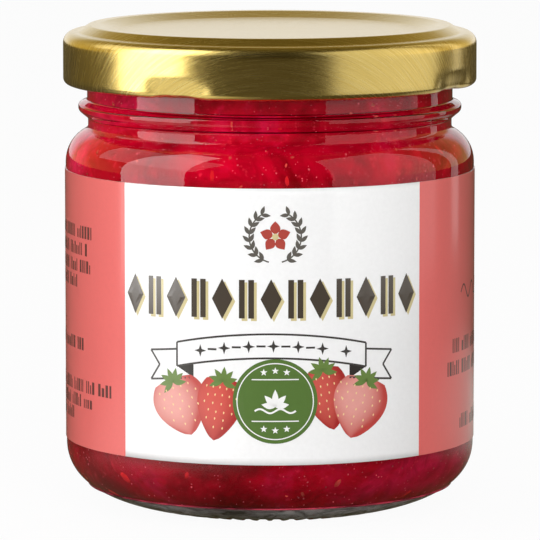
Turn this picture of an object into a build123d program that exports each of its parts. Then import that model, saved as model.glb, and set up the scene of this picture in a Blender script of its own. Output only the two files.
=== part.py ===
"""A 212 ml jam jar: glass, jam, paper wrap label and a four-lug twist-off lid.

Millimetres, +Z up. The origin is the centre of the ring that the jar stands on, and
the middle of the label faces -Y. Every round piece is turned about the Z axis.
"""

import os
from math import atan2, degrees, tan

from build123d import *

# Glass, outside. A drop is measured down from the sealing rim.
jar_height = 82.0
body_radius = 34.8
standing_radius = 20.0  # outer edge of the flat ring the jar stands on
standing_width = 1.4
punt_height = 2.0  # hollow under the base
heel_height = 11.0  # where the curved heel meets the straight barrel
heel_toe_run = 2.8  # first reach of the heel curve, outwards
heel_toe_rise = 0.64
heel_fullness = 9.0  # last reach of the heel curve, down the barrel
shoulder_drop = 19.5  # corner where barrel and shoulder slope would meet
shoulder_radius = 6.0
groove_depth = 0.15  # groove, inside the neck's radius
groove_drop = 17.4  # corner where shoulder slope and groove would meet
groove_corner = 1.0
bead_reach = 1.5  # bead, outside the neck's radius
bead_foot_drop = 15.6
bead_low_drop = 14.25
bead_high_drop = 13.15
bead_top_drop = 12.6
bead_foot_corner = 0.7
bead_low_corner = 0.9
bead_high_corner = 0.6
bead_top_corner = 0.4
neck_radius = 31.1
rim_outer_corner = 1.0
rim_inner_corner = 0.9

# Scallops in the heel, just outside the standing ring
knurl_count = 54
knurl_radius = 1.0
knurl_depth = 0.35
knurl_length = 3.6

# Glass, inside
wall = 2.6
neck_wall = 2.5
inner_neck_drop = 18.0  # corner where mouth and inner shoulder would meet
inner_shoulder_drop = 21.0
inner_shoulder_radius = 4.5
floor_middle = 5.0
floor_edge = 4.5
floor_edge_radius = 17.0
inner_heel_height = 14.0
inner_heel_run = 5.0
inner_heel_fullness = 8.0

# Screw starts on the neck
thread_count = 4
thread_start_angle = 34.0  # degrees from +X to the middle of one start
thread_sweep = 76.0
thread_tilt = 3.4  # degrees, climbing towards the anticlockwise end
thread_drop = 7.7
thread_reach = 1.6
thread_root = 0.3  # depth that a start is rooted in the neck
thread_half_height = 0.8
thread_corner = 0.45

# Lid: one tinplate pressing whose raised ring rests on the rim
sheet = 0.22
lid_corner = 2.3
panel_inset = 3.1  # edge of the sunk middle panel, inside the mouth's radius
panel_recess = 0.95  # middle panel, below the top of the ring
panel_corner = 1.0
ring_inner_reach = 0.3  # inner edge of the raised ring, outside the mouth's radius
ring_outer_inset = 0.35  # its outer edge, inside the neck's radius
ring_corner = 0.9
ledge_reach = 1.85  # foot of the ring's outer slope, outside its edge
ledge_recess = 1.15
ledge_corner = 0.5
curl_radius = 1.0
thread_clearance = 0.45  # rolled edge outside the screw starts

# Lugs: short tongues of the rolled edge that grip under the screw starts
lug_count = 4
lug_start_angle = 63.0 - 90.0  # degrees from +X to the middle of one lug
lug_sweep = 15.0
lug_clearance = 0.65  # lug tip outside the neck
lug_drop = 1.1  # middle of a screw start down to the middle of a lug
lug_half_height = 0.5
lug_corner = 0.3
dent_depth = 0.62  # how far the rolled edge is pressed in outside each lug
dent_slope = 45.0
dent_block = 24.0  # size of the block that presses the dent

# Jam
headspace = 6.0  # rim down to the jam
jam_clearance = 0.05

# Label
label_thickness = 0.1
label_clearance = 0.03  # glue line
label_heel_margin = 0.87  # lower edge above the heel
label_shoulder_margin = 1.07  # upper edge below the shoulder curve
label_gap = 20.0  # degrees left open between its ends, at the back

cavity_radius = body_radius - wall
mouth_radius = neck_radius - neck_wall
groove_radius = neck_radius - groove_depth
bead_radius = neck_radius + bead_reach
neck_to_body = body_radius - groove_radius
shoulder_lean = atan2(neck_to_body, shoulder_drop - groove_drop)
shoulder_height = jar_height - shoulder_drop - shoulder_radius * tan(shoulder_lean / 2)
ring_top = jar_height + sheet
panel_radius = mouth_radius - panel_inset
ring_inner_radius = mouth_radius + ring_inner_reach
ring_outer_radius = neck_radius - ring_outer_inset
curl_height = jar_height - thread_drop - lug_drop
curl_middle_radius = neck_radius + thread_reach + thread_clearance + curl_radius
lid_radius = curl_middle_radius + curl_radius
lug_reach = curl_middle_radius - neck_radius - lug_clearance

os.makedirs("parts", exist_ok=True)


def radial_plane(angle):
    """Upright plane through the Z axis whose x direction points at angle degrees."""
    along = Vector(1, 0, 0).rotate(Axis.Z, angle)
    return Plane(origin=(0, 0, 0), x_dir=along, z_dir=along.rotate(Axis.Z, -90))


def cavity_section(gap, top):
    """Half section of the inside of the glass up to top, drawn smaller by gap."""
    side = cavity_radius - gap
    mouth = mouth_radius - gap
    floor_corner = (floor_edge_radius, floor_edge + gap)
    with BuildSketch(Plane.XZ) as section:
        with BuildLine():
            Bezier(
                (0, floor_middle + gap),
                (floor_edge_radius / 3, floor_middle + gap),
                (floor_edge_radius * 2 / 3, floor_edge + gap),
                floor_corner,
            )
            Bezier(
                floor_corner,
                (floor_edge_radius + inner_heel_run, floor_edge + gap),
                (side, inner_heel_height - inner_heel_fullness),
                (side, inner_heel_height),
            )
            FilletPolyline(
                (side, inner_heel_height),
                (side, jar_height - inner_shoulder_drop),
                (mouth, jar_height - inner_neck_drop),
                (mouth, top),
                radius=(inner_shoulder_radius, inner_shoulder_radius),
            )
            Polyline((mouth, top), (0, top), (0, floor_middle + gap))
        make_face()
    return section.sketch


# One screw start, level, from the X axis round: placed on the neck below
with BuildPart() as thread_start:
    with BuildSketch(Plane.XZ):
        with Locations((neck_radius + (thread_reach - thread_root) / 2, 0)):
            RectangleRounded(thread_reach + thread_root, 2 * thread_half_height, thread_corner)
    revolve(axis=Axis.Z, revolution_arc=thread_sweep)

# Each start is tilted about the radius through its middle, so that it climbs
thread_places = [
    Location((0, 0, jar_height - thread_drop), (0, 0, thread_start_angle + turn * 360 / thread_count))
    * Location((0, 0, 0), (thread_tilt, 0, 0))
    * Location((0, 0, 0), (0, 0, -thread_sweep / 2))
    for turn in range(thread_count)
]

with BuildPart() as glass_jar:
    with BuildSketch(Plane.XZ):
        with BuildLine():
            punt_edge = standing_radius - standing_width
            TangentArc((0, punt_height), (punt_edge, 0), tangent=(1, 0))
            Line((punt_edge, 0), (standing_radius, 0))
            Bezier(
                (standing_radius, 0),
                (standing_radius + heel_toe_run, heel_toe_rise),
                (body_radius, heel_height - heel_fullness),
                (body_radius, heel_height),
            )
            FilletPolyline(
                (body_radius, heel_height),
                (body_radius, jar_height - shoulder_drop),
                (groove_radius, jar_height - groove_drop),
                (groove_radius, jar_height - bead_foot_drop),
                (bead_radius, jar_height - bead_low_drop),
                (bead_radius, jar_height - bead_high_drop),
                (neck_radius, jar_height - bead_top_drop),
                (neck_radius, jar_height),
                (0, jar_height),
                radius=(
                    shoulder_radius,
                    groove_corner,
                    bead_foot_corner,
                    bead_low_corner,
                    bead_high_corner,
                    bead_top_corner,
                    rim_outer_corner,
                ),
            )
            Line((0, jar_height), (0, punt_height))
        make_face()
    revolve(axis=Axis.Z)
    with Locations(*thread_places):
        add(thread_start.part)
    revolve(cavity_section(0, jar_height), axis=Axis.Z, mode=Mode.SUBTRACT)
    mouth_edge = edges().filter_by(GeomType.CIRCLE).group_by(Axis.Z)[-1].sort_by(SortBy.RADIUS)[0]
    fillet(mouth_edge, radius=rim_inner_corner)
    toe_slope = heel_toe_rise / heel_toe_run
    knurl_level = toe_slope * knurl_length / 2 + knurl_depth - knurl_radius
    with Locations((0, 0, knurl_level)):
        with PolarLocations(standing_radius + knurl_length / 2, knurl_count):
            Cylinder(
                knurl_radius,
                knurl_length,
                rotation=(0, 90 - degrees(atan2(heel_toe_rise, heel_toe_run)), 0),
                mode=Mode.SUBTRACT,
            )

with BuildPart() as jam:
    revolve(cavity_section(jam_clearance, jar_height - headspace), axis=Axis.Z)

with BuildPart() as label:
    with BuildSketch(radial_plane(90 + label_gap / 2)):
        label_bottom = heel_height + label_heel_margin
        label_top = shoulder_height - label_shoulder_margin
        label_middle_radius = body_radius + label_clearance + label_thickness / 2
        with Locations((label_middle_radius, (label_bottom + label_top) / 2)):
            Rectangle(label_thickness, label_top - label_bottom)
    revolve(axis=Axis.Z, revolution_arc=360 - label_gap)

with BuildPart() as lid:
    with BuildSketch(Plane.XZ):
        with BuildLine():
            panel_height = ring_top - panel_recess
            ledge_height = ring_top - ledge_recess
            FilletPolyline(
                (0, panel_height),
                (panel_radius, panel_height),
                (ring_inner_radius, ring_top),
                (ring_outer_radius, ring_top),
                (ring_outer_radius + ledge_reach, ledge_height),
                (lid_radius, ledge_height),
                (lid_radius, curl_height),
                radius=(panel_corner, ring_corner, ring_corner, ledge_corner, lid_corner),
            )
            offset(amount=sheet, side=Side.RIGHT)
        make_face()
        with Locations((curl_middle_radius, curl_height)):
            Circle(curl_radius)
    revolve(axis=Axis.Z)
    for turn in range(lug_count):
        lug_angle = lug_start_angle + turn * 360 / lug_count
        with BuildSketch(radial_plane(lug_angle - lug_sweep / 2)):
            with Locations((curl_middle_radius - lug_reach / 2, curl_height)):
                RectangleRounded(lug_reach, 2 * lug_half_height, lug_corner)
        revolve(axis=Axis.Z, revolution_arc=lug_sweep)
    # The block's face stands dent_depth inside the rolled edge, facing down and out
    block_offset = curl_radius - dent_depth + dent_block / 2
    with Locations((0, 0, curl_height)):
        with PolarLocations(curl_middle_radius, lug_count, start_angle=lug_start_angle):
            with Locations(Location((0, 0, 0), (0, dent_slope, 0))):
                with Locations((block_offset, 0, 0)):
                    Box(dent_block, dent_block, dent_block, mode=Mode.SUBTRACT)

for name, piece in (("glass_jar", glass_jar), ("jam", jam), ("label", label), ("lid", lid)):
    piece.part.label = name
    export_step(piece.part, f"parts/{name}.step")
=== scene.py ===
import math

import bpy
import numpy as np
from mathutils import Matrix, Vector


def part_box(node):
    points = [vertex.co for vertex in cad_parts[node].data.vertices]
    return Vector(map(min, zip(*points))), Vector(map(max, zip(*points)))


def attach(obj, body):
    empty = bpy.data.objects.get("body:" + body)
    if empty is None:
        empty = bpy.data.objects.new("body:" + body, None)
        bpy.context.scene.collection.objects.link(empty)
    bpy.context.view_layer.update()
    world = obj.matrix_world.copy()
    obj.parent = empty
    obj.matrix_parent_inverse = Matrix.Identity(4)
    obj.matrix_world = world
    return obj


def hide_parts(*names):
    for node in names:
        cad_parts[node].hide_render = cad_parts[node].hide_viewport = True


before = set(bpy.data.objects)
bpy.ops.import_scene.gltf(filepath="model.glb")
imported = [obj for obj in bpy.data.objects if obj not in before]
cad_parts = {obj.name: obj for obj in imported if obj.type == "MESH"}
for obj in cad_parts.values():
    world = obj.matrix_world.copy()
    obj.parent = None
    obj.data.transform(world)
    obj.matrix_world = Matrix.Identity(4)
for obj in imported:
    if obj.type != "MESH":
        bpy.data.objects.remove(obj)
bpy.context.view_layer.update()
mm = 0.001
fullTurn = 2 * math.pi


def boxInMm(node):
    low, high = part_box(node)
    return np.array(low) / mm, np.array(high) / mm


glassLow, glassHigh = boxInMm("glass_jar")
lidLow, lidHigh = boxInMm("lid")
jamLow, jamHigh = boxInMm("jam")
labelLow, labelHigh = boxInMm("label")
jarHeight = float(glassHigh[2])
bodyRadius = float(glassHigh[0] - glassLow[0]) / 2
lidRadius = float(lidHigh[0] - lidLow[0]) / 2
lidTop = float(lidHigh[2])
labelRadius = float(labelHigh[0] - labelLow[0]) / 2
print("frame loaded, jar", round(jarHeight, 2), "mm high")


# ---- shapes ----

def smoothStep(x, start, end):
    # 0 before start, 1 after end, and a cubic ease between them
    t = np.clip((x - start) / (end - start), 0, 1)
    return t * t * (3 - 2 * t)


def bezier(a, b, c, d, steps):
    # cubic curve: the four points weighted by (1-t)^3, 3(1-t)^2 t, 3(1-t) t^2 and t^3
    t = np.linspace(0, 1, steps)[:, None]
    a, b, c, d = (np.array(p, float) for p in (a, b, c, d))
    return (1 - t) ** 3 * a + 3 * (1 - t) ** 2 * t * b + 3 * (1 - t) * t * t * c + t ** 3 * d


def roundedPath(points, radii, arcSteps=9):
    # straight runs joined by arcs that touch both runs at radius / tan(half the corner's angle)
    points = np.array(points, float)
    stretches = [points[:1]]
    for before, corner, after, radius in zip(points[:-2], points[1:-1], points[2:], radii):
        back = (before - corner) / np.linalg.norm(before - corner)
        ahead = (after - corner) / np.linalg.norm(after - corner)
        half = math.acos(float(np.clip(back @ ahead, -1, 1))) / 2
        middle = (back + ahead) / np.linalg.norm(back + ahead)
        centre = corner + middle * radius / math.sin(half)
        reach = radius / math.tan(half)
        turn = math.pi - 2 * half
        t = np.linspace(0, 1, arcSteps)[:, None]
        first, last = corner + back * reach - centre, corner + ahead * reach - centre
        stretches.append(centre + (np.sin((1 - t) * turn) * first + np.sin(t * turn) * last) / math.sin(turn))
    stretches.append(points[-1:])
    return np.concatenate(stretches)


def evenly(path, step):
    # the same line with every run cut into equal pieces no longer than step
    runs = [path[:1]]
    for a, b in zip(path[:-1], path[1:]):
        count = max(1, math.ceil(float(np.linalg.norm(b - a)) / step))
        runs.append(a + (b - a) * (np.arange(1, count + 1) / count)[:, None])
    line = np.concatenate(runs)
    keep = np.r_[True, np.linalg.norm(np.diff(line, axis=0), axis=1) > 1e-4]
    return line[keep]


def gridQuads(rows, cols, closeRows=False, closeCols=False):
    # each face joins point (i, j) to (i, j+1), (i+1, j+1) and (i+1, j)
    i = np.arange(rows if closeRows else rows - 1)[:, None]
    j = np.arange(cols if closeCols else cols - 1)[None, :]
    nextRow, nextCol = (i + 1) % rows, (j + 1) % cols
    corners = [i * cols + j, i * cols + nextCol, nextRow * cols + nextCol, nextRow * cols + j]
    return np.stack(np.broadcast_arrays(*corners), -1).reshape(-1, 4)


def meshFrom(name, points, quads, fields=None, smooth=True):
    # points in mm; faces that shrink to a line or point at a pole become triangles or go
    mesh = bpy.data.meshes.new(name)
    mesh.from_pydata((np.asarray(points, float).reshape(-1, 3) * mm).tolist(), [], quads.tolist())
    for field, values in (fields or {}).items():
        layer = mesh.attributes.new(field, "FLOAT_VECTOR", "POINT")
        layer.data.foreach_set("vector", np.asarray(values, np.float32).ravel())
    import bmesh
    work = bmesh.new()
    work.from_mesh(mesh)
    bmesh.ops.remove_doubles(work, verts=work.verts, dist=2e-7)
    work.to_mesh(mesh)
    work.free()
    mesh.polygons.foreach_set("use_smooth", np.full(len(mesh.polygons), smooth))
    mesh.update()
    obj = bpy.data.objects.new(name, mesh)
    bpy.context.scene.collection.objects.link(obj)
    return obj


def turned(profile, steps):
    # each profile point (radius, height) carried once round the Z axis
    angle = np.arange(steps) / steps * fullTurn
    radius, height = np.meshgrid(profile[:, 0], angle, indexing="ij")[0], profile[:, 1][:, None]
    return radius, np.broadcast_to(height, radius.shape).copy(), np.broadcast_to(angle, radius.shape)


def spun(radius, height, angle):
    return np.stack([radius * np.cos(angle), radius * np.sin(angle), height], -1)


def settle(obj, material, stands=None):
    # puts a finished piece on the one body and gives it its finish
    obj.data.materials.clear()
    obj.data.materials.append(material)
    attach(obj, "root")
    if stands:
        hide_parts(stands)
    return obj


# ---- materials ----

def newMaterial(name):
    material = bpy.data.materials.new(name)
    material.use_nodes = True
    tree = material.node_tree
    tree.nodes.clear()
    return material, tree


def node(tree, kind, **values):
    made = tree.nodes.new(kind)
    for key, value in values.items():
        if key in made.bl_rna.properties:
            setattr(made, key, value)
        else:
            made.inputs[key.replace("_", " ")].default_value = value
    return made


def setInputs(made, values):
    for key, value in values.items():
        made.inputs[key].default_value = value
    return made


def link(tree, a, outName, b, inName):
    tree.links.new(a.outputs[outName], b.inputs[inName])


def ramp(tree, stops):
    made = tree.nodes.new("ShaderNodeValToRGB")
    band = made.color_ramp
    while len(band.elements) < len(stops):
        band.elements.new(0.5)
    for element, (place, colour) in zip(band.elements, stops):
        element.position = place
        element.color = (*colour, 1)
    return made


def noise(tree, source, outName, scale, detail=4, rough=0.5, distortion=0.0):
    made = tree.nodes.new("ShaderNodeTexNoise")
    setInputs(made, {"Scale": scale, "Detail": detail, "Roughness": rough, "Distortion": distortion})
    tree.links.new(source.outputs[outName], made.inputs["Vector"])
    return made


def bumpFrom(tree, source, outName, strength, distance, normal=None):
    made = tree.nodes.new("ShaderNodeBump")
    setInputs(made, {"Strength": strength, "Distance": distance})
    tree.links.new(source.outputs[outName], made.inputs["Height"])
    if normal:
        tree.links.new(normal.outputs["Normal"], made.inputs["Normal"])
    return made


def mixColour(tree, blend, factor, a, b):
    # a and b are colours or (node, output) pairs, factor is a number or such a pair
    made = tree.nodes.new("ShaderNodeMix")
    made.data_type = "RGBA"
    made.blend_type = blend
    for value, socket in ((factor, made.inputs[0]), (a, made.inputs[6]), (b, made.inputs[7])):
        if isinstance(value, tuple) and isinstance(value[0], bpy.types.Node):
            tree.links.new(value[0].outputs[value[1]], socket)
        elif isinstance(value, tuple):
            socket.default_value = (*value, 1)
        else:
            socket.default_value = value
    return made


# ---- glass ----

glass = {
    "standingRadius": 20.0, "standingWidth": 1.4, "puntHeight": 2.0,
    "heelHeight": 11.0, "toeRun": 2.8, "toeRise": 0.64, "heelFullness": 9.0,
    "shoulderDrop": 19.5, "shoulderRadius": 6.0, "grooveRadius": 30.95, "grooveDrop": 17.4,
    "beadRadius": 32.6, "beadFootDrop": 15.6, "beadLowDrop": 14.25, "beadHighDrop": 13.15,
    "beadTopDrop": 12.6, "neckRadius": 31.1,
    "wall": 2.6, "mouthRadius": 28.6, "innerNeckDrop": 18.0, "innerShoulderDrop": 21.0,
    "innerShoulderRadius": 4.5, "floorMiddle": 5.0, "floorEdge": 4.5, "floorEdgeRadius": 17.0,
    "innerHeelHeight": 14.0, "innerHeelRun": 5.0, "innerHeelFullness": 8.0,
    "knurlCount": 54, "knurlDepth": 0.62, "knurlLength": 5.2,
    "threadCount": 4, "threadMiddle": 34.0, "threadSweep": 76.0, "threadTilt": 3.4,
    "threadDrop": 7.7, "threadReach": 1.6, "threadHalfHeight": 0.85,
    "turnSteps": 432, "waviness": 0.035,
}


def cavityProfile(grow, top):
    # inside of the glass from its middle up to top, pushed out into the wall by grow
    g = glass
    side, mouth = bodyRadius - g["wall"] + grow, g["mouthRadius"] + grow
    edge = (g["floorEdgeRadius"], g["floorEdge"] - grow)
    floor = bezier((0, g["floorMiddle"] - grow), (edge[0] / 3, g["floorMiddle"] - grow),
                   (edge[0] * 2 / 3, edge[1]), edge, 14)
    heel = bezier(edge, (edge[0] + g["innerHeelRun"], edge[1]),
                  (side, g["innerHeelHeight"] - g["innerHeelFullness"]), (side, g["innerHeelHeight"]), 28)
    upper = roundedPath([(side, g["innerHeelHeight"]), (side, jarHeight - g["innerShoulderDrop"]),
                         (mouth, jarHeight - g["innerNeckDrop"]), (mouth, top)],
                        [g["innerShoulderRadius"]] * 2)
    return np.concatenate([floor, heel[1:], upper[1:]])


def glassProfile():
    # outside from the middle of the punt, over the rim, and down the inside to the floor
    g = glass
    puntEdge = g["standingRadius"] - g["standingWidth"]
    bow = (puntEdge ** 2 + g["puntHeight"] ** 2) / (2 * g["puntHeight"])
    across = np.linspace(0, puntEdge, 14)
    punt = np.stack([across, g["puntHeight"] - bow + np.sqrt(bow ** 2 - across ** 2)], -1)
    heel = bezier((g["standingRadius"], 0), (g["standingRadius"] + g["toeRun"], g["toeRise"]),
                  (bodyRadius, g["heelHeight"] - g["heelFullness"]), (bodyRadius, g["heelHeight"]), 34)
    drops = [(bodyRadius, "shoulderDrop"), (g["grooveRadius"], "grooveDrop"),
             (g["grooveRadius"], "beadFootDrop"), (g["beadRadius"], "beadLowDrop"),
             (g["beadRadius"], "beadHighDrop"), (g["neckRadius"], "beadTopDrop")]
    upper = roundedPath([(bodyRadius, g["heelHeight"])] + [(r, jarHeight - g[d]) for r, d in drops]
                        + [(g["neckRadius"], jarHeight), (g["mouthRadius"], jarHeight),
                           (g["mouthRadius"], jarHeight - g["beadHighDrop"])],
                        [g["shoulderRadius"], 1.0, 0.7, 0.9, 0.6, 0.4, 1.0, 0.9])
    inside = cavityProfile(0, jarHeight - g["beadHighDrop"])[::-1]
    return np.concatenate([punt, heel, upper[1:], inside[1:]])


def makeGlass():
    g = glass
    profile = evenly(glassProfile(), 1.25)
    fine = evenly(profile, 0.3)
    neck = (fine[:, 1] > jarHeight - g["beadTopDrop"]) & (fine[:, 0] > g["neckRadius"] - 0.5)
    toe = (fine[:, 1] < 2.2) & (fine[:, 0] > g["standingRadius"] - 1.5) & (fine[:, 0] < 26.5)
    coarse = np.isclose(fine[:, None, :], profile[None, :, :], atol=1e-6).all(-1).any(1)
    profile = fine[neck | toe | coarse]
    radius, height, angle = turned(profile, g["turnSteps"])
    outer = np.arange(len(profile))[:, None] <= np.argmax(profile[:, 1] * 10 + profile[:, 0])
    # screw starts: a flat-topped ridge on the neck, climbing as a tilted ring does
    for turn in range(g["threadCount"]):
        middle = math.radians(g["threadMiddle"] + turn * 360 / g["threadCount"])
        away = np.angle(np.exp(1j * (angle - middle)))
        half = math.radians(g["threadSweep"] / 2)
        climb = g["neckRadius"] * math.sin(math.radians(g["threadTilt"])) * np.sin(away)
        across = np.abs(height - (jarHeight - g["threadDrop"] + climb)) / g["threadHalfHeight"]
        ridge = (1 - smoothStep(across, 0.45, 1.15)) * (1 - smoothStep(np.abs(away), half - 0.1, half))
        radius = radius + g["threadReach"] * ridge * (outer & (radius > g["neckRadius"] - 0.5))
    # knurled toe: scallops cut up into the heel just outside the standing ring
    wave = (0.5 + 0.5 * np.cos(angle * g["knurlCount"])) ** 1.6
    start, length = g["standingRadius"], g["knurlLength"]
    window = smoothStep(radius, start - 1.3, start - 0.7) * (1 - smoothStep(radius, start + length * 0.7, start + length))
    toeRows = outer & (height < 2.4)
    height = height + g["knurlDepth"] * wave * window * toeRows
    # moulded glass is never quite true: a faint slow wave in the wall
    slow = np.sin(angle * 3 + height * 0.11) * 0.6 + np.sin(angle * 7 - height * 0.23 + 1.3) * 0.4
    body = smoothStep(height, 12, 20) * (1 - smoothStep(height, jarHeight - 24, jarHeight - 18))
    radius = radius - g["waviness"] * (0.5 + 0.5 * slow) * body * (radius > g["mouthRadius"] + 1.5)
    quads = gridQuads(len(profile), g["turnSteps"], closeCols=True)
    return meshFrom("glassWall", spun(radius, height, angle), quads)


def glassMaterial():
    material, tree = newMaterial("clearGreenishGlass")
    shader = tree.nodes.new("ShaderNodeBsdfPrincipled")
    setInputs(shader, {"Base Color": (0.955, 0.985, 0.97, 1), "Roughness": 0.0, "IOR": 1.5,
                       "Transmission Weight": 1.0})
    place = tree.nodes.new("ShaderNodeTexCoord")
    ripple = noise(tree, place, "Object", 42, 2, 0.4)
    seeds = noise(tree, place, "Object", 210, 2, 0.5)
    gentle = bumpFrom(tree, ripple, "Fac", 0.10, 0.0012)
    fine = bumpFrom(tree, seeds, "Fac", 0.03, 0.0004, gentle)
    link(tree, fine, "Normal", shader, "Normal")
    path = tree.nodes.new("ShaderNodeLightPath")
    clear = tree.nodes.new("ShaderNodeBsdfTransparent")
    clear.inputs["Color"].default_value = (0.93, 0.95, 0.94, 1)
    mix = tree.nodes.new("ShaderNodeMixShader")
    link(tree, path, "Is Shadow Ray", mix, "Fac")
    tree.links.new(shader.outputs[0], mix.inputs[1])
    tree.links.new(clear.outputs[0], mix.inputs[2])
    out = tree.nodes.new("ShaderNodeOutputMaterial")
    tree.links.new(mix.outputs[0], out.inputs["Surface"])
    return material


footRing = {
    "profile": ((17.5, 4.15), (20.5, 4.35), (24.3, 5.05), (26.8, 5.0), (31.2, 3.95)),
    "thickness": 0.22, "turnSteps": 432, "scallop": 0.14,
}


def makeFootRing():
    # the stippled, scalloped foot as a grey frosted band inside the clear glass; its colour also carries a painted
    # highlight and a painted refraction of the jam
    f = footRing
    upper = evenly(np.array(f["profile"]), 0.7)
    lower = upper[::-1] - [0, f["thickness"]]
    profile = np.concatenate([upper, lower])
    radius, height, angle = turned(profile, f["turnSteps"])
    height = height + f["scallop"] * np.cos(angle * glass["knurlCount"]) * (1 - smoothStep(radius, 24, 27))
    return meshFrom("frostedFoot", spun(radius, height, angle), gridQuads(len(profile), f["turnSteps"], True, True))


def footMaterial():
    material, tree = newMaterial("frostedFootPaintedLight")
    shader = tree.nodes.new("ShaderNodeBsdfPrincipled")
    place = tree.nodes.new("ShaderNodeTexCoord")
    flat = tree.nodes.new("ShaderNodeMapping")
    flat.inputs["Scale"].default_value = (1, 1, 3)
    link(tree, place, "Object", flat, "Vector")
    streaks = noise(tree, flat, "Vector", 300, 4, 0.6, 0.8)
    patches = noise(tree, place, "Object", 48, 3, 0.5)
    grey = ramp(tree, [(0.36, (0.26, 0.26, 0.26)), (0.50, (0.70, 0.70, 0.70)), (0.60, (1.0, 0.99, 0.99))])
    link(tree, streaks, "Fac", grey, "Fac")
    # painted light: far out it is coloured the jam's red as a painted refraction of the jam, just inside that is a
    # painted pale pink-white highlight band, and near the standing ring it is darker
    spread = tree.nodes.new("ShaderNodeVectorMath")
    spread.operation = "MULTIPLY"
    spread.inputs[1].default_value = (1, 1, 0)
    link(tree, place, "Object", spread, 0)
    reach = tree.nodes.new("ShaderNodeVectorMath")
    reach.operation = "LENGTH"
    tree.links.new(spread.outputs["Vector"], reach.inputs[0])
    outwards = tree.nodes.new("ShaderNodeMapRange")
    setInputs(outwards, {"From Min": 0.018, "From Max": 0.0312})
    link(tree, reach, "Value", outwards, "Value")
    paintedLightByRadius = ramp(tree, [(0.0, (0.28, 0.29, 0.29)), (0.30, (0.72, 0.72, 0.72)), (0.55, (1.0, 0.98, 0.98)),
                       (0.82, (1.0, 0.80, 0.83)), (0.93, (0.80, 0.25, 0.30)), (1.0, (0.55, 0.05, 0.09))])
    link(tree, outwards, "Result", paintedLightByRadius, "Fac")
    tone = ramp(tree, [(0.40, (0.50, 0.48, 0.48)), (0.56, (1.0, 1.0, 1.0))])
    link(tree, patches, "Fac", tone, "Fac")
    greyAndPaintedLight = mixColour(tree, "MULTIPLY", 1.0, (grey, "Color"), (paintedLightByRadius, "Color"))
    mixed = mixColour(tree, "MULTIPLY", 1.0, (greyAndPaintedLight, 2), (tone, "Color"))
    tree.links.new(mixed.outputs[2], shader.inputs["Base Color"])
    setInputs(shader, {"Roughness": 0.5, "Specular IOR Level": 0.1})
    rough = bumpFrom(tree, streaks, "Fac", 0.3, 0.0003)
    link(tree, rough, "Normal", shader, "Normal")
    out = tree.nodes.new("ShaderNodeOutputMaterial")
    tree.links.new(shader.outputs[0], out.inputs["Surface"])
    return material


# ---- jam ----

jamLook = {
    "intoWall": 0.25, "turnSteps": 240, "fill": float(jamHigh[2]),
    "deep": (0.30, 0.0004, 0.007), "bright": (0.59, 0.0010, 0.020), "rosy": (0.82, 0.013, 0.090),
    "paintedShadeLines": ((69.2, 0.32), (67.35, 0.42)),
    "seedCount": 170, "seedLong": 0.36, "seedWide": 0.24, "seedColour": (0.72, 0.07, 0.06),
    "pulpCount": 60, "pulpLong": 0.85, "pulpWide": 0.5, "pulpColour": (0.62, 0.012, 0.02),
    "speckCount": 1900, "speckSize": 0.11, "speckColour": (0.80, 0.10, 0.14),
}


def makeJam():
    profile = cavityProfile(jamLook["intoWall"], jamLook["fill"])
    profile = evenly(np.concatenate([profile, [(0, jamLook["fill"])]]), 1.1)
    radius, height, angle = turned(profile, jamLook["turnSteps"])
    return meshFrom("jamFill", spun(radius, height, angle), gridQuads(len(profile), jamLook["turnSteps"], closeCols=True))


def scatterOnJam(name, count, longs, wides, thick, sink, seed, rows=6, cols=8):
    # small flattened ellipsoids lying in the jam's outer skin, each an angle-by-angle grid
    rng = np.random.default_rng(seed)
    profile = evenly(cavityProfile(jamLook["intoWall"], jamLook["fill"] - 1), 0.2)
    seen = (profile[:, 1] > labelHigh[2] - 3) | (profile[:, 1] < labelLow[2] + 3) | (rng.random(len(profile)) < 0.16)
    seen &= profile[:, 0] > 15
    pick = rng.choice(np.flatnonzero(seen[:-1]), count)
    spot, ahead = profile[pick], profile[pick + 1] - profile[pick]
    ahead /= np.linalg.norm(ahead, axis=1)[:, None]
    angle = rng.random(count) * fullTurn
    cosA, sinA = np.cos(angle), np.sin(angle)
    outward = np.stack([ahead[:, 1] * cosA, ahead[:, 1] * sinA, -ahead[:, 0]], -1)
    upward = np.stack([ahead[:, 0] * cosA, ahead[:, 0] * sinA, ahead[:, 1]], -1)
    sideways = np.stack([-sinA, cosA, np.zeros(count)], -1)
    centre = np.stack([spot[:, 0] * cosA, spot[:, 0] * sinA, spot[:, 1]], -1) - outward * sink
    spin = rng.random(count) * math.pi
    first = sideways * np.cos(spin)[:, None] + upward * np.sin(spin)[:, None]
    second = np.cross(outward, first)
    size = np.exp(rng.normal(0, 0.28, count))
    lat = np.linspace(-math.pi / 2, math.pi / 2, rows)
    lon = np.arange(cols) / cols * fullTurn
    ripple = 1 + 0.16 * np.sin(lon * 2 + rng.random(count)[:, None] * 6)[:, None, :]
    a = np.cos(lat)[None, :, None] * np.cos(lon)[None, None, :] * ripple * longs
    b = np.cos(lat)[None, :, None] * np.sin(lon)[None, None, :] * ripple * wides
    c = np.broadcast_to(np.sin(lat)[None, :, None] * thick, a.shape)
    grow = size[:, None, None, None]
    points = centre[:, None, None, :] + grow * (a[..., None] * first[:, None, None, :]
                                                + b[..., None] * second[:, None, None, :]
                                                + c[..., None] * outward[:, None, None, :])
    one = gridQuads(rows, cols, closeCols=True)
    quads = (one[None] + (np.arange(count) * rows * cols)[:, None, None]).reshape(-1, 4)
    return meshFrom(name, points, quads)


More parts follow.
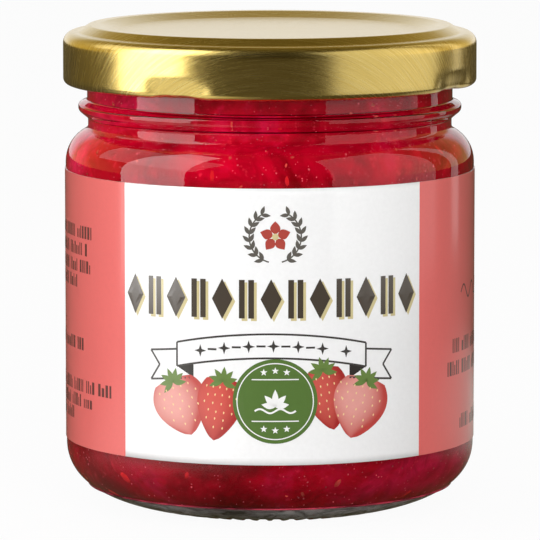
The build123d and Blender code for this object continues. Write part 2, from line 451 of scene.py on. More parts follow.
def jamMaterial():
    material, tree = newMaterial("redFruitJam")
    shader = tree.nodes.new("ShaderNodeBsdfPrincipled")
    place = tree.nodes.new("ShaderNodeTexCoord")
    clouds = noise(tree, place, "Object", 55, 5, 0.6, 0.6)
    threads = noise(tree, place, "Object", 190, 4, 0.65, 1.4)
    grain = noise(tree, place, "Object", 900, 3, 0.6)
    base = ramp(tree, [(0.34, jamLook["deep"]), (0.52, jamLook["bright"]), (0.72, jamLook["rosy"])])
    link(tree, clouds, "Fac", base, "Fac")
    streak = ramp(tree, [(0.38, (0.62, 0.55, 0.55)), (0.56, (1, 1, 1)), (0.70, (1.0, 1.0, 1.0))])
    link(tree, threads, "Fac", streak, "Fac")
    streaked = mixColour(tree, "MULTIPLY", 0.75, (base, "Color"), (streak, "Color"))
    fleck = ramp(tree, [(0.60, (0, 0, 0)), (0.70, (0.16, 0.012, 0.02))])
    link(tree, grain, "Fac", fleck, "Fac")
    flecked = mixColour(tree, "ADD", 1.0, (streaked, 2), (fleck, "Color"))
    # painted shade: the jam is darker towards the bottom, and darkened in a thin line above and below the neck's
    # bead
    axes = tree.nodes.new("ShaderNodeSeparateXYZ")
    link(tree, place, "Object", axes, "Vector")
    # painted shade towards the bottom: colour halved at 4 mm, full from 14 mm up
    rise = tree.nodes.new("ShaderNodeMapRange")
    setInputs(rise, {"From Min": 0.004, "From Max": 0.014, "To Min": 0.5, "To Max": 1.0})
    link(tree, axes, "Z", rise, "Value")
    last = mixColour(tree, "MULTIPLY", 1.0, (flecked, 2), (rise, "Result"))
    # painted shade: a thin dark line of jam at each listed height
    for height, half in jamLook["paintedShadeLines"]:
        away = tree.nodes.new("ShaderNodeMath")
        away.operation = "SUBTRACT"
        link(tree, axes, "Z", away, 0)
        away.inputs[1].default_value = height * mm
        size = tree.nodes.new("ShaderNodeMath")
        size.operation = "ABSOLUTE"
        link(tree, away, "Value", size, 0)
        line = tree.nodes.new("ShaderNodeMapRange")
        line.interpolation_type = "SMOOTHSTEP"
        setInputs(line, {"From Min": half * 0.35 * mm, "From Max": half * mm, "To Min": 0.92, "To Max": 0.0})
        link(tree, size, "Value", line, "Value")
        last = mixColour(tree, "MULTIPLY", (line, "Result"), (last, 2), (0.03, 0.02, 0.06))
    tree.links.new(last.outputs[2], shader.inputs["Base Color"])
    setInputs(shader, {"Roughness": 0.5, "Specular IOR Level": 0.0, "IOR": 1.42})
    lumps = bumpFrom(tree, clouds, "Fac", 0.25, 0.001)
    pulp = bumpFrom(tree, threads, "Fac", 0.25, 0.0004, lumps)
    link(tree, pulp, "Normal", shader, "Normal")
    out = tree.nodes.new("ShaderNodeOutputMaterial")
    tree.links.new(shader.outputs[0], out.inputs["Surface"])
    return material


def fleckMaterial(name, colour, glow):
    material, tree = newMaterial(name)
    shader = tree.nodes.new("ShaderNodeBsdfPrincipled")
    place = tree.nodes.new("ShaderNodeTexCoord")
    patches = noise(tree, place, "Object", 160, 3, 0.6)
    dark = tuple(c * 0.45 for c in colour)
    tint = ramp(tree, [(0.38, dark), (0.55, colour), (0.70, tuple(min(1, c * 1.15) for c in colour))])
    link(tree, patches, "Fac", tint, "Fac")
    link(tree, tint, "Color", shader, "Base Color")
    setInputs(shader, {"Roughness": 0.5, "Specular IOR Level": 0.0, "Subsurface Weight": glow,
                       "Subsurface Scale": 0.0004})
    fine = bumpFrom(tree, patches, "Fac", 0.3, 0.0003)
    link(tree, fine, "Normal", shader, "Normal")
    out = tree.nodes.new("ShaderNodeOutputMaterial")
    tree.links.new(shader.outputs[0], out.inputs["Surface"])
    return material


# ---- lid ----

lid = {
    "sheet": 0.22, "panelRadius": 25.5, "panelRecess": 0.95, "ringInner": 28.9, "ringOuter": 30.75,
    "ledgeRadius": 32.6, "ledgeRecess": 1.15, "curlRadius": 1.0, "curlHeight": float(lidLow[2]) + 1.0,
    "lugCount": 4, "lugMiddle": -27.0, "dentHalfSweep": 12.5, "dentDepth": 0.8, "dentHeight": 2.6,
    "lugReach": 1.3, "lugHalfSweep": 8.0, "turnSteps": 480,
}


def makeLid():
    k = lid
    top, ledge = lidTop, lidTop - k["ledgeRecess"]
    panel = lidTop - k["panelRecess"]
    outer = roundedPath([(0, panel), (k["panelRadius"], panel), (k["ringInner"], top), (k["ringOuter"], top),
                         (k["ledgeRadius"], ledge), (lidRadius, ledge), (lidRadius, k["curlHeight"])],
                        [1.0, 0.9, 0.9, 0.5, 1.9], 11)
    t = np.linspace(0, 1, 20)[1:, None]
    curlCentre = np.array([lidRadius - k["curlRadius"], k["curlHeight"]])
    swing = -t * math.pi * 1.12
    curl = curlCentre + k["curlRadius"] * np.concatenate([np.cos(swing), np.sin(swing)], 1)
    s = k["sheet"]
    inner = roundedPath([(lidRadius - s, curl[-1, 1] + 0.45), (lidRadius - s, ledge - s),
                         (k["ledgeRadius"] - 0.08, ledge - s), (k["ringOuter"] - 0.08, top - s),
                         (k["ringInner"] + 0.03, top - s), (k["panelRadius"] + 0.03, panel - s), (0, panel - s)],
                        [1.68, 0.72, 0.68, 0.68, 1.22], 9)
    outer = evenly(outer, 0.7)
    profile = np.concatenate([outer, curl, evenly(inner, 0.9)])
    isInner = np.arange(len(profile)) >= len(outer) + len(curl)
    radius, height, angle = turned(profile, k["turnSteps"])
    # how far along the flat sheet each point was before it was pressed
    along = np.r_[0, np.cumsum(np.linalg.norm(np.diff(profile, axis=0), axis=1))]
    flat = np.where(isInner, along[-1] - along, along)[:, None]
    lowEdge = k["curlHeight"] - k["curlRadius"]
    near = np.zeros_like(angle)
    tongue = np.zeros_like(angle)
    for turn in range(k["lugCount"]):
        away = np.abs(np.angle(np.exp(1j * (angle - math.radians(k["lugMiddle"] + turn * 360 / k["lugCount"])))))
        near += 1 - smoothStep(away, math.radians(k["dentHalfSweep"] * 0.25), math.radians(k["dentHalfSweep"]))
        tongue += 1 - smoothStep(away, math.radians(k["lugHalfSweep"] * 0.7), math.radians(k["lugHalfSweep"]))
    # dent: the skirt's foot leans in towards its lower edge; lug: the inner lip reaches the neck
    fall = np.clip((lowEdge + k["dentHeight"] + k["curlRadius"] - height) / k["dentHeight"], 0, 1) ** 1.15
    skirt = (radius > lidRadius - 2.4) & (height < top - 2)
    radius = radius - k["dentDepth"] * near * np.minimum(fall, 1) * skirt
    inward = np.clip((curlCentre[0] + 0.2 - radius) / k["curlRadius"], 0, 1)
    lip = skirt & (height < k["curlHeight"] + 0.6)
    radius = radius - k["lugReach"] * tongue * inward * lip
    points = spun(radius, height, angle)
    sheetPlace = np.stack([flat * np.cos(angle), flat * np.sin(angle), np.zeros_like(angle)], -1) * mm
    return meshFrom("goldLid", points, gridQuads(len(profile), k["turnSteps"], closeCols=True),
                    {"sheet": sheetPlace.reshape(-1, 3)})


def lidMaterial():
    material, tree = newMaterial("brushedGoldTinplate")
    shader = tree.nodes.new("ShaderNodeBsdfPrincipled")
    place = tree.nodes.new("ShaderNodeAttribute")
    place.attribute_name = "sheet"
    lines = tree.nodes.new("ShaderNodeMapping")
    lines.inputs["Scale"].default_value = (90, 4600, 1)
    link(tree, place, "Vector", lines, "Vector")
    hair = noise(tree, lines, "Vector", 1.0, 5, 0.7)
    broad = tree.nodes.new("ShaderNodeMapping")
    broad.inputs["Scale"].default_value = (40, 1300, 1)
    link(tree, place, "Vector", broad, "Vector")
    strip = noise(tree, broad, "Vector", 1.0, 3, 0.6)
    gold = ramp(tree, [(0.30, (0.72, 0.52, 0.12)), (0.5, (0.84, 0.63, 0.19)), (0.72, (0.94, 0.75, 0.29))])
    link(tree, hair, "Fac", gold, "Fac")
    tone = ramp(tree, [(0.36, (0.90, 0.88, 0.84)), (0.62, (1, 1, 1))])
    link(tree, strip, "Fac", tone, "Fac")
    colour = mixColour(tree, "MULTIPLY", 0.8, (gold, "Color"), (tone, "Color"))
    tree.links.new(colour.outputs[2], shader.inputs["Base Color"])
    matte = tree.nodes.new("ShaderNodeMapRange")
    setInputs(matte, {"From Min": 0.3, "From Max": 0.7, "To Min": 0.19, "To Max": 0.30})
    link(tree, hair, "Fac", matte, "Value")
    link(tree, matte, "Result", shader, "Roughness")
    setInputs(shader, {"Metallic": 1.0, "Coat Weight": 0.5, "Coat Roughness": 0.2})
    scratch = bumpFrom(tree, hair, "Fac", 0.22, 0.00005)
    link(tree, scratch, "Normal", shader, "Normal")
    out = tree.nodes.new("ShaderNodeOutputMaterial")
    tree.links.new(shader.outputs[0], out.inputs["Surface"])
    return material


# ---- label ----

labelSizes = {
    "bottom": float(labelLow[2]), "top": float(labelHigh[2]), "thickness": 0.09,
    "gapDegrees": 20.0, "panelLeft": -26.6, "panelRight": 27.7, "inkLift": 0.012,
}
paper = (0.90, 0.90, 0.90)
coral = (0.78, 0.143, 0.132)
darkInk = (0.055, 0.040, 0.028)
blackInk = (0.020, 0.017, 0.016)
goldInk = (0.62, 0.53, 0.27)
greenInk = (0.085, 0.17, 0.03)
whiteInk = (0.88, 0.88, 0.87)


def wrapped(s, z, lift):
    # s runs along the paper from the middle of the front, to the right; z is the height
    s, z, lift = np.broadcast_arrays(s, z, lift)
    angle = s / labelRadius - math.pi / 2
    radius = labelRadius + lift
    return np.stack([radius * np.cos(angle), radius * np.sin(angle), z], -1)


def makePaper():
    halfWidth = labelRadius * math.radians(180 - labelSizes["gapDegrees"] / 2)
    s = np.linspace(-halfWidth, halfWidth, 361)
    z = np.linspace(labelSizes["bottom"], labelSizes["top"], 40)
    inner = -labelSizes["thickness"]
    # cross-section ring: up the outer face, over the top edge, down the inner face
    ringZ = np.r_[z, z[::-1]]
    ringLift = np.r_[np.full(40, -labelSizes["inkLift"]), np.full(40, inner)]
    points = wrapped(s[:, None], ringZ[None, :], ringLift[None, :])
    quads = gridQuads(361, 80, closeCols=True)[:, ::-1]
    obj = meshFrom("paperWrap", points, quads)
    import bmesh
    work = bmesh.new()
    work.from_mesh(obj.data)
    ends = [edge for edge in work.edges if edge.is_boundary]
    bmesh.ops.holes_fill(work, edges=ends, sides=0)
    bmesh.ops.recalc_face_normals(work, faces=work.faces)
    work.to_mesh(obj.data)
    work.free()
    return obj


def bar(s0, s1, z0, z1, columns=None):
    columns = columns or max(2, math.ceil(abs(s1 - s0) / 0.8) + 1)
    return np.meshgrid(np.linspace(s0, s1, columns), np.linspace(z0, z1, 2), indexing="ij")


def ring(s, z, inside, outside, steps=64, start=0.0, sweep=fullTurn):
    # radius by angle
    angle, radius = np.meshgrid(start + np.linspace(0, sweep, steps), np.linspace(inside, outside, 5), indexing="ij")
    return s + radius * np.cos(angle), z + radius * np.sin(angle)


def star(s, z, size, points=5, depth=0.42):
    # the outline's radius swings linearly between tip and notch
    angle = np.linspace(0, fullTurn, points * 2 + 1)
    reach = np.where(np.arange(points * 2 + 1) % 2 == 0, size, size * depth)
    share = np.linspace(0, 1, 3)
    a, b = np.cos(angle + math.pi / 2) * reach, np.sin(angle + math.pi / 2) * reach
    return s + a[:, None] * share, z + b[:, None] * share


def leaf(s, z, length, width, turn, bend=0.0):
    # half-width is a sine along the leaf, which may bend sideways as a parabola
    t, u = np.meshgrid(np.linspace(0, 1, 11), np.linspace(-1, 1, 3), indexing="ij")
    x, y = t * length, u * width / 2 * np.sin(t ** 0.85 * math.pi) + bend * t * t * length
    c, d = math.cos(turn), math.sin(turn)
    return s + x * c - y * d, z + x * d + y * c


def stroke(s, z, width):
    # a line of even width: the path pushed to both sides along its normal
    s, z = np.asarray(s, float), np.asarray(z, float)
    ds, dz = np.gradient(s), np.gradient(z)
    size = np.hypot(ds, dz)
    side = np.array([-0.5, 0.5]) * width
    return s[:, None] - (dz / size)[:, None] * side, z[:, None] + (ds / size)[:, None] * side


def ribbonHeight(s, low, rise, half):
    return low + rise * (1 - (s / half) ** 2)


def ribbon(s0, s1, low, high, rise, half, s=None):
    s, t = np.meshgrid(np.linspace(s0, s1, 42), np.linspace(0, 1, 2), indexing="ij")
    return s, ribbonHeight(s, low, rise, half) + t * (high - low)


def berryOutline(t, u, width, height):
    # half-width of a strawberry from its shoulders (t = 0) to its tip (t = 1)
    half = width / 2 * np.sin(np.clip(0.16 + 0.84 * t, 0, 1) * math.pi) ** 0.62 * (1.06 - 0.36 * t)
    return half * u, height * (0.5 - t) + height * 0.05 * (1 - u * u) * (1 - t)


def turnedShape(x, y, s, z, turn):
    c, d = math.cos(turn), math.sin(turn)
    return s + x * c - y * d, z + x * d + y * c


def berry(s, z, width, height, turn):
    t, u = np.meshgrid(np.linspace(0, 1, 22), np.linspace(-1, 1, 13), indexing="ij")
    x, y = berryOutline(t, u, width, height)
    # palest left of the middle, darker as the square of the way to the edge
    fade = np.clip(1.05 - 0.85 * (u + 0.25) ** 2 - 2.1 * (t - 0.36) ** 2, 0, 1)
    return (*turnedShape(x, y, s, z, turn), fade)


def inkPiece(name, patches, level, colour, gloss=0.42, edge=None, varnish=1.8):
    # every patch is a small grid laid on the paper; joined, turned outwards and given ink thickness
    points, quads, fades, first = [], [], [], 0
    for s, z, *fade in patches:
        s, z = np.broadcast_arrays(s, z)
        # twice the signed area says which way the patch faces
        across, along = np.diff(s, axis=0)[:, :-1], np.diff(z, axis=1)[:-1]
        area = np.sum(across * along - np.diff(z, axis=0)[:, :-1] * np.diff(s, axis=1)[:-1])
        faces = gridQuads(*s.shape)
        points.append(wrapped(s, z, level * labelSizes["inkLift"]).reshape(-1, 3))
        quads.append((faces[:, ::-1] if area > 0 else faces) + first)
        fades.append(np.broadcast_to(fade[0] if fade else 0.0, s.shape).ravel())
        first += s.size
    fields = {"fade": np.repeat(np.concatenate(fades)[:, None], 3, 1)} if edge else None
    obj = meshFrom(name, np.concatenate(points), np.concatenate(quads), fields, smooth=False)
    thick = obj.modifiers.new("ink", "SOLIDIFY")
    thick.thickness = labelSizes["inkLift"] * 0.8 * mm
    thick.offset = -1
    return settle(obj, inkMaterial(name + "Ink", colour, gloss, edge, varnish))


def inkMaterial(name, colour, gloss, edge=None, varnish=1.8):
    material, tree = newMaterial(name)
    shader = tree.nodes.new("ShaderNodeBsdfPrincipled")
    place = tree.nodes.new("ShaderNodeTexCoord")
    fibre = noise(tree, place, "Object", 1400, 3, 0.6)
    tint = ramp(tree, [(0.3, (0.965, 0.965, 0.965)), (0.7, (1, 1, 1))])
    link(tree, fibre, "Fac", tint, "Fac")
    body = colour
    if edge:
        # printed shading runs from the edge colour to the full one
        shading = tree.nodes.new("ShaderNodeAttribute")
        shading.attribute_name = "fade"
        body = (mixColour(tree, "MIX", (shading, "Fac"), edge, colour), 2)
    shade = mixColour(tree, "MULTIPLY", 1.0, body, (tint, "Color"))
    tree.links.new(shade.outputs[2], shader.inputs["Base Color"])
    sheen = tree.nodes.new("ShaderNodeMapRange")
    setInputs(sheen, {"To Min": gloss - 0.05, "To Max": gloss + 0.08})
    link(tree, fibre, "Fac", sheen, "Value")
    link(tree, sheen, "Result", shader, "Roughness")
    setInputs(shader, {"Specular IOR Level": 0.3, "Coat Weight": 1.0, "Coat IOR": varnish, "Coat Roughness": 0.12})
    soft = bumpFrom(tree, fibre, "Fac", 0.015, 0.00003)
    link(tree, soft, "Normal", shader, "Normal")
    out = tree.nodes.new("ShaderNodeOutputMaterial")
    tree.links.new(shader.outputs[0], out.inputs["Surface"])
    return material


# ---- print on the label ----

def printSidePanels():
    edge = labelRadius * math.radians(180 - labelSizes["gapDegrees"] / 2)
    low, high = labelSizes["bottom"], labelSizes["top"]
    inkPiece("coralSides", [bar(-edge, labelSizes["panelLeft"], low, high), bar(labelSizes["panelRight"], edge, low, high)],
             0.4, coral, varnish=1.42)


def printTitleBand():
    # a row of upright lozenges and bars in place of a title, each with a gold shadow
    dark, shadow = [], []
    low, high = 36.35, 42.75
    middle = (low + high) / 2
    for index in range(13):
        s = -24.2 + index * 4.07
        for patches, shift in ((shadow, 0.45), (dark, 0.0)):
            z = middle - shift * 0.9
            if index % 2:
                patches.append(bar(s - 1.25 + shift, s - 0.3 + shift, low - shift * 0.9, high - shift * 0.9))
                patches.append(bar(s + 0.3 + shift, s + 1.25 + shift, low - shift * 0.9, high - shift * 0.9))
            else:
                patches.append(star(s + shift, z, 3.35, 2, 0.52))
    inkPiece("titleShadow", shadow, 1.4, goldInk)
    inkPiece("titleMarks", dark, 2.4, darkInk)


def printOrnament():
    # five-petalled blossom in a wreath of two sprigs
    s0, z0, reach = 0.9, 49.9, 4.3
    petals = [leaf(s0 + 0.4 * math.cos(a), z0 + 0.4 * math.sin(a), 2.2, 1.7, a)
              for a in math.pi / 2 + np.arange(5) * fullTurn / 5]
    lines = []
    for side in (-1, 1):
        a = np.linspace(-1.32, 1.0, 26)
        lines.append(stroke(s0 + side * reach * np.cos(a), z0 + reach * np.sin(a), 0.24))
        for step in np.linspace(-1.1, 1.0, 8):
            foot = (s0 + side * reach * math.cos(step), z0 + reach * math.sin(step))
            for lean in (-0.65, 0.65):
                turn = step + math.pi / 2 + lean
                lines.append(leaf(*foot, 1.6, 0.66, turn if side > 0 else math.pi - turn))
    inkPiece("blossomPetals", petals, 1.4, (0.42, 0.05, 0.035))
    inkPiece("blossomSprigs", lines, 1.4, (0.11, 0.10, 0.085))
    inkPiece("blossomHeart", [ring(s0, z0, 0, 0.55, 20)], 2.6, goldInk)


def printRibbon():
    half, low, high, rise = 15.9, 28.0, 32.0, 1.75
    lineWidth = 0.32
    s = np.linspace(-half, half + 0.6, 60)
    edges = [stroke(s, ribbonHeight(s, level, rise, half), lineWidth) for level in (low, high)]
    edges += [stroke([x, x], [ribbonHeight(x, low, rise, half), ribbonHeight(x, high, rise, half)], lineWidth)
              for x in (-half, half + 0.6)]
    folds = []
    for side, start in ((-1, -half), (1, half + 0.6)):
        outer, notch, inner = start + side * 5.0, start + side * 3.3, start - side * 3.0
        tailLow, tailHigh = low - 2.5, high - 1.6
        edges.append(stroke(np.linspace(start, outer, 9), np.linspace(tailHigh + 0.45, tailHigh, 9), lineWidth))
        edges.append(stroke(np.linspace(inner, outer, 12), np.linspace(tailLow + 0.75, tailLow, 12), lineWidth))
        edges.append(stroke([outer, notch], [tailHigh, (tailHigh + tailLow) / 2 + 0.1], lineWidth))
        edges.append(stroke([notch, outer], [(tailHigh + tailLow) / 2 + 0.1, tailLow], lineWidth))
        # the dark fold where the ribbon turns behind itself
        t, u = np.meshgrid(np.linspace(0, 1, 8), np.linspace(0, 1, 2), indexing="ij")
        topLine = ribbonHeight(start + (inner - start) * t, low, rise, half)
        bottom = ribbonHeight(start, low, rise, half) - (1.75 * t)
        folds.append((start + (inner - start) * t, np.where(u > 0, topLine, np.minimum(topLine, bottom))))
    dots = [star(x, ribbonHeight(x, (low + high) / 2, rise, half), 1.05, 4, 0.34) for x in np.arange(-12, 12.6, 4.1) + 0.3]
    dots += [bar(x - 0.75, x + 0.75, h - 0.16, h + 0.16) for x in np.arange(-9.95, 10.5, 4.1) + 0.3
             for h in [ribbonHeight(x, (low + high) / 2, rise, half)]]
    inkPiece("ribbonLines", edges + dots, 1.4, (0.045, 0.04, 0.038))
    inkPiece("ribbonFolds", folds, 1.0, blackInk)


def printBerries():
    pale, deep, light, seeds, green, darkGreen = [], [], [], [], [], []
    fruits = [(-15.0, 21.0, 10.6, 9.4, 0.38, pale), (-8.6, 20.9, 8.4, 10.2, -0.16, light),
              (9.8, 22.6, 8.2, 10.2, 0.20, deep), (15.2, 20.8, 10.8, 9.9, -0.30, pale)]
    for index, (s, z, width, height, turn, skin) in enumerate(fruits):
        skin.append(berry(s, z, width, height, turn))
        rng = np.random.default_rng(40 + index)
        for row in range(6):
            t = 0.16 + row * 0.125
            count = 5 - row // 2 if row < 5 else 2
            for column in range(count):
                u = ((column + 0.5 + 0.5 * (row % 2)) / (count + 0.5) * 2 - 1) * 0.86
                x, y = berryOutline(np.array(t + rng.normal(0, 0.008)), np.array(u), width, height)
                sx, sz = turnedShape(x, y, s, z, turn)
                seeds.append(leaf(float(sx), float(sz) + 0.22, 0.46, 0.24, turn - math.pi / 2))
        crown = turnedShape(0, height * 0.48, s, z, turn)
        leaves = green if skin is not deep else darkGreen
        for a in (0.25, 0.85, 1.5, 2.2, 2.85, 3.5, 5.9):
            leaves.append(leaf(float(crown[0]), float(crown[1]), 2.5, 0.95, a + turn, 0.12))
    inkPiece("berryDeep", deep, 1.0, (0.60, 0.085, 0.065), edge=(0.36, 0.010, 0.010))
    inkPiece("berryPale", pale, 1.4, (0.78, 0.34, 0.30), edge=(0.50, 0.045, 0.038))
    inkPiece("berryLight", light, 1.8, (0.64, 0.075, 0.055), edge=(0.38, 0.012, 0.010))
    inkPiece("calyxGreen", green + darkGreen, 2.4, (0.13, 0.22, 0.045))
    inkPiece("berryPips", seeds, 2.8, (0.86, 0.62, 0.30))


def printBadge():
    s0, z0 = 0.9, 22.55
    inkPiece("badgeGround", [ring(s0, z0, 0, 7.05, 96)], 3.4, greenInk)
    white = [ring(s0, z0, 6.25, 6.42, 96)]
    for level, offset in ((4.85, 1), (-4.6, 1)):
        white += [star(s0 + x, z0 + level + (0.25 if x == 0 else 0) * math.copysign(1, level), 0.62) for x in (-1.9, 0, 1.9)]
    white += [bar(s0 - 3.9, s0 + 3.9, z0 + level - 0.09, z0 + level + 0.09) for level in (3.65, -3.3)]
    # a sprig of five leaves over a small wave, in place of words
    white.append(stroke(s0 + np.linspace(-3.4, 3.4, 24), z0 - 1.6 + 0.35 * np.sin(np.linspace(0, 4 * math.pi, 24)), 0.3))
    for a, size in ((math.pi / 2, 2.9), (math.pi / 2 - 0.75, 2.6), (math.pi / 2 + 0.75, 2.6),
                    (math.pi / 2 - 1.4, 2.3), (math.pi / 2 + 1.4, 2.3)):
        white.append(leaf(s0, z0 - 0.9, size, 1.05, a))
    inkPiece("badgeWhite", white, 4.4, whiteInk, 0.5)


def printSideNotes():
    # rows of plain upright bars, as small print would look from afar
    rng = np.random.default_rng(7)
    marks = []

    def row(start, end, z, height):
        s = start
        while s < end:
            for _ in range(rng.integers(4, 9)):
                width = rng.choice([0.34, 0.34, 0.5, 0.72])
                tall = height * rng.choice([0.72, 1.0, 1.0])
                if s + width > end:
                    break
                marks.append(bar(s, s + width, z, z + tall, 2))
                s += width + 0.36
            s += 0.9

    for z, end in ((47.3, -35.0), (44.4, -36.8), (41.5, -36.0), (38.8, -41.0), (28.3, -38.6),
                   (21.2, -29.8), (18.6, -35.6), (16.2, -42.6)):
        row(-63, end, z, 2.1)
    for z, start in ((28.0, 37.6), (24.2, 35.8), (14.9, 40.6)):
        row(start, 66, z, 2.4)
    t = np.linspace(0, 1, 60)
    marks.append(stroke(41.0 + 22 * t, 38.0 + 1.2 * np.sin(t * 26), 0.35))
    # at the back: a nutrition-style grid of bare rules and a block of stripes
    for z in (51, 47.5, 44, 40.5, 37):
        marks.append(bar(70, 92, z, z + 0.22))
    for s in (70, 84, 91.8):
        marks.append(bar(s, s + 0.22, 37, 51.2, 2))
    s = -92.0
    while s < -72:
        width = rng.uniform(0.25, 0.95)
        marks.append(bar(s, s + width, 20, 30, 3))
        s += width + rng.uniform(0.3, 0.9)
    inkPiece("sideNotes", marks, 1.6, (0.13, 0.035, 0.03), varnish=1.42)


# ---- stage, lamps, camera ----

stageSizes = {
    "cameraDistance": 0.919, "cameraHeight": 0.15597, "pitch": 0.1255, "aimSide": 0.00003, "lens": 361.2,
    "paintedLightPools": ((-0.125, -0.085, 0.13, 0.9), (0.12, 0.085, 0.12, 0.5)),
}


def makeStage():
    side = 6.0
    corners = np.array([[-side, -side, 0], [side, -side, 0], [side, side, 0], [-side, side, 0]]) / mm
    floor = meshFrom("floor", corners, np.array([[0, 1, 2, 3]]), smooth=False)
    material, tree = newMaterial("paleFloor")
    shader = tree.nodes.new("ShaderNodeBsdfPrincipled")
    setInputs(shader, {"Base Color": (0.90, 0.90, 0.90, 1), "Roughness": 0.8, "Specular IOR Level": 0.1})
    glow = tree.nodes.new("ShaderNodeEmission")
    path = tree.nodes.new("ShaderNodeLightPath")
    # painted light: gloss sees a dark warm floor with a painted pool of light before each side softbox
    place = tree.nodes.new("ShaderNodeTexCoord")
    floorTone = (0.050, 0.038, 0.010)
    # each painted pool of light is added to the floor's colour as gloss sees it
    for x, y, size, level in stageSizes["paintedLightPools"]:
        away = tree.nodes.new("ShaderNodeVectorMath")
        away.operation = "DISTANCE"
        link(tree, place, "Object", away, 0)
        away.inputs[1].default_value = (x, y, 0)
        pool = tree.nodes.new("ShaderNodeMapRange")
        pool.interpolation_type = "SMOOTHSTEP"
        setInputs(pool, {"From Min": size * 0.35, "From Max": size, "To Min": level, "To Max": 0.0})
        link(tree, away, "Value", pool, "Value")
        floorTone = (mixColour(tree, "ADD", (pool, "Result"), floorTone, (1.0, 0.99, 0.94)), 2)
    glowTone = mixColour(tree, "MIX", (path, "Is Glossy Ray"), (1.0, 1.0, 1.0), floorTone)
    tree.links.new(glowTone.outputs[2], glow.inputs["Color"])
    seen = tree.nodes.new("ShaderNodeMath")
    seen.operation = "MAXIMUM"
    link(tree, path, "Is Camera Ray", seen, 0)
    link(tree, path, "Is Transmission Ray", seen, 1)
    mirrored = tree.nodes.new("ShaderNodeMath")
    mirrored.operation = "MAXIMUM"
    link(tree, seen, "Value", mirrored, 0)
    link(tree, path, "Is Glossy Ray", mirrored, 1)
    first = tree.nodes.new("ShaderNodeMath")
    first.operation = "LESS_THAN"
    link(tree, path, "Diffuse Depth", first, 0)
    first.inputs[1].default_value = 0.5
    both = tree.nodes.new("ShaderNodeMath")
    both.operation = "MULTIPLY"
    link(tree, mirrored, "Value", both, 0)
    link(tree, first, "Value", both, 1)
    share = tree.nodes.new("ShaderNodeMath")
    share.operation = "MULTIPLY"
    share.inputs[1].default_value = 0.95
    link(tree, both, "Value", share, 0)
    mix = tree.nodes.new("ShaderNodeMixShader")
    link(tree, share, "Value", mix, "Fac")
    tree.links.new(shader.outputs[0], mix.inputs[1])
    tree.links.new(glow.outputs[0], mix.inputs[2])
    out = tree.nodes.new("ShaderNodeOutputMaterial")
    tree.links.new(mix.outputs[0], out.inputs["Surface"])
    floor.data.materials.append(material)


def makeWorld():
    world = bpy.data.worlds.new("studio")
    bpy.context.scene.world = world
    world.use_nodes = True
    tree = world.node_tree
    tree.nodes.clear()
    place = tree.nodes.new("ShaderNodeTexCoord")
    axes = tree.nodes.new("ShaderNodeSeparateXYZ")
    link(tree, place, "Generated", axes, "Vector")
    # what gloss mirrors: bright behind the jar, a dark room in front of it
    mirrored = ramp(tree, [(0.0, (0.030, 0.022, 0.006)), (0.22, (0.05, 0.038, 0.010)), (0.5, (0.38, 0.29, 0.07)),
                           (0.80, (0.62, 0.47, 0.12)), (0.92, (0.66, 0.53, 0.20)), (0.955, (1.0, 1.0, 1.0))])
    overhead = tree.nodes.new("ShaderNodeMapRange")
    setInputs(overhead, {"From Min": 0.05, "From Max": 0.9, "To Min": 1.0, "To Max": 0.22})
    link(tree, axes, "Z", overhead, "Value")
    behind = tree.nodes.new("ShaderNodeMapRange")
    setInputs(behind, {"From Min": -1.0, "From Max": 1.0})
    link(tree, axes, "Y", behind, "Value")
    link(tree, behind, "Result", mirrored, "Fac")
    # what lights matt surfaces: soft, stronger from the left
    ambient = ramp(tree, [(0.0, (0.62, 0.62, 0.62)), (0.5, (0.45, 0.45, 0.45)), (1.0, (0.06, 0.06, 0.06))])
    sideways = tree.nodes.new("ShaderNodeMapRange")
    setInputs(sideways, {"From Min": -1.0, "From Max": 1.0})
    link(tree, axes, "X", sideways, "Value")
    link(tree, sideways, "Result", ambient, "Fac")
    path = tree.nodes.new("ShaderNodeLightPath")
    shaded = mixColour(tree, "MULTIPLY", 1.0, (mirrored, "Color"), (overhead, "Result"))
    room = mixColour(tree, "MIX", (path, "Is Glossy Ray"), (ambient, "Color"), (shaded, 2))
    seen = tree.nodes.new("ShaderNodeMath")
    seen.operation = "MAXIMUM"
    link(tree, path, "Is Camera Ray", seen, 0)
    link(tree, path, "Is Transmission Ray", seen, 1)
    first = tree.nodes.new("ShaderNodeMath")
    first.operation = "LESS_THAN"
    link(tree, path, "Diffuse Depth", first, 0)
    first.inputs[1].default_value = 0.5
    both = tree.nodes.new("ShaderNodeMath")
    both.operation = "MULTIPLY"
    link(tree, seen, "Value", both, 0)
    link(tree, first, "Value", both, 1)
    colour = mixColour(tree, "MIX", (both, "Value"), (room, 2), (1.0, 1.0, 1.0))
    light = tree.nodes.new("ShaderNodeBackground")
    tree.links.new(colour.outputs[2], light.inputs["Color"])
    out = tree.nodes.new("ShaderNodeOutputWorld")
    tree.links.new(light.outputs[0], out.inputs["Surface"])


def makeLamp(name, azimuth, elevation, distance, width, height, power, mirrored=True, lights=True, aim=0.04):
    # azimuth is counted from the camera's side, to the right; the lamp faces the jar's middle
    lamp = bpy.data.lights.new(name, "AREA")
    lamp.shape = "RECTANGLE"
    lamp.size, lamp.size_y, lamp.energy = width, height, power
    obj = bpy.data.objects.new(name, lamp)
    bpy.context.scene.collection.objects.link(obj)
    a, e = math.radians(azimuth), math.radians(elevation)
    place = np.array([math.sin(a) * math.cos(e), -math.cos(a) * math.cos(e), math.sin(e)]) * distance
    obj.location = place + np.array([0, 0, aim])
    obj.visible_glossy, obj.visible_diffuse = mirrored, lights
    obj.visible_camera = False
    from mathutils import Vector
    obj.rotation_euler = Vector(place).to_track_quat("Z", "Y").to_euler()
    return obj


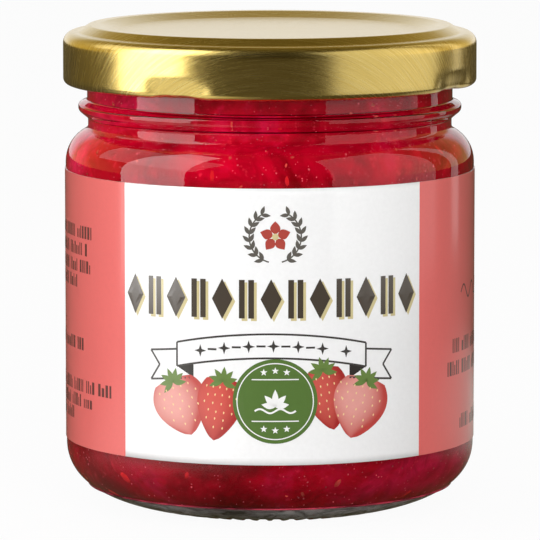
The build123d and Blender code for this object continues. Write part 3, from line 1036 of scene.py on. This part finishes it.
def makeCamera():
    camera = bpy.data.cameras.new("camera")
    camera.lens = stageSizes["lens"]
    camera.sensor_width = 36
    camera.clip_start, camera.clip_end = 0.05, 20
    obj = bpy.data.objects.new("camera", camera)
    bpy.context.scene.collection.objects.link(obj)
    place = (stageSizes["aimSide"], -stageSizes["cameraDistance"], stageSizes["cameraHeight"])
    obj.location = place
    obj.rotation_euler = (math.pi / 2 - stageSizes["pitch"], 0, 0)
    bpy.context.scene.camera = obj


settle(makeGlass(), glassMaterial(), "glass_jar")
settle(makeFootRing(), footMaterial())
print("glass made")
settle(makeJam(), jamMaterial(), "jam")
settle(scatterOnJam("jamSeeds", jamLook["seedCount"], jamLook["seedLong"], jamLook["seedWide"], 0.25, 0.05, 11),
       fleckMaterial("seedSkin", jamLook["seedColour"], 0.2))
settle(scatterOnJam("jamPulp", jamLook["pulpCount"], jamLook["pulpLong"], jamLook["pulpWide"], 0.2, 0.12, 12),
       fleckMaterial("pulpFlesh", jamLook["pulpColour"], 0.3))
settle(scatterOnJam("jamSpecks", jamLook["speckCount"], jamLook["speckSize"], jamLook["speckSize"], 0.12, 0.02, 13, 4, 6),
       fleckMaterial("speckSkin", jamLook["speckColour"], 0.0))
print("jam made")
settle(makeLid(), lidMaterial(), "lid")
print("lid made")
settle(makePaper(), inkMaterial("paperWhite", paper, 0.40), "label")
printSidePanels()
printTitleBand()
printOrnament()
printRibbon()
printBerries()
printBadge()
printSideNotes()
print("label printed")

makeStage()
makeWorld()
makeLamp("keySoftbox", -67, 0, 0.32, 0.245, 0.76, 1.8, lights=False, aim=0.375)
makeLamp("keyWash", -62, 15, 0.8, 0.6, 0.7, 2.45, mirrored=False)
makeLamp("frontWash", 8, 25, 1.1, 0.9, 0.9, 7.9, mirrored=False)
makeLamp("fillSoftbox", 68, 0, 0.32, 0.44, 0.6, 0.64, lights=False, aim=0.295)
makeLamp("topSoftbox", -80, 40, 0.6, 0.85, 0.35, 0.8, lights=False)
makeLamp("rimStrip", 123, 0, 0.4, 0.06, 0.6, 0.10, lights=False, aim=0.295)
makeCamera()
bpy.context.scene.view_settings.view_transform = "Standard"
print("stage, lamps and camera made")
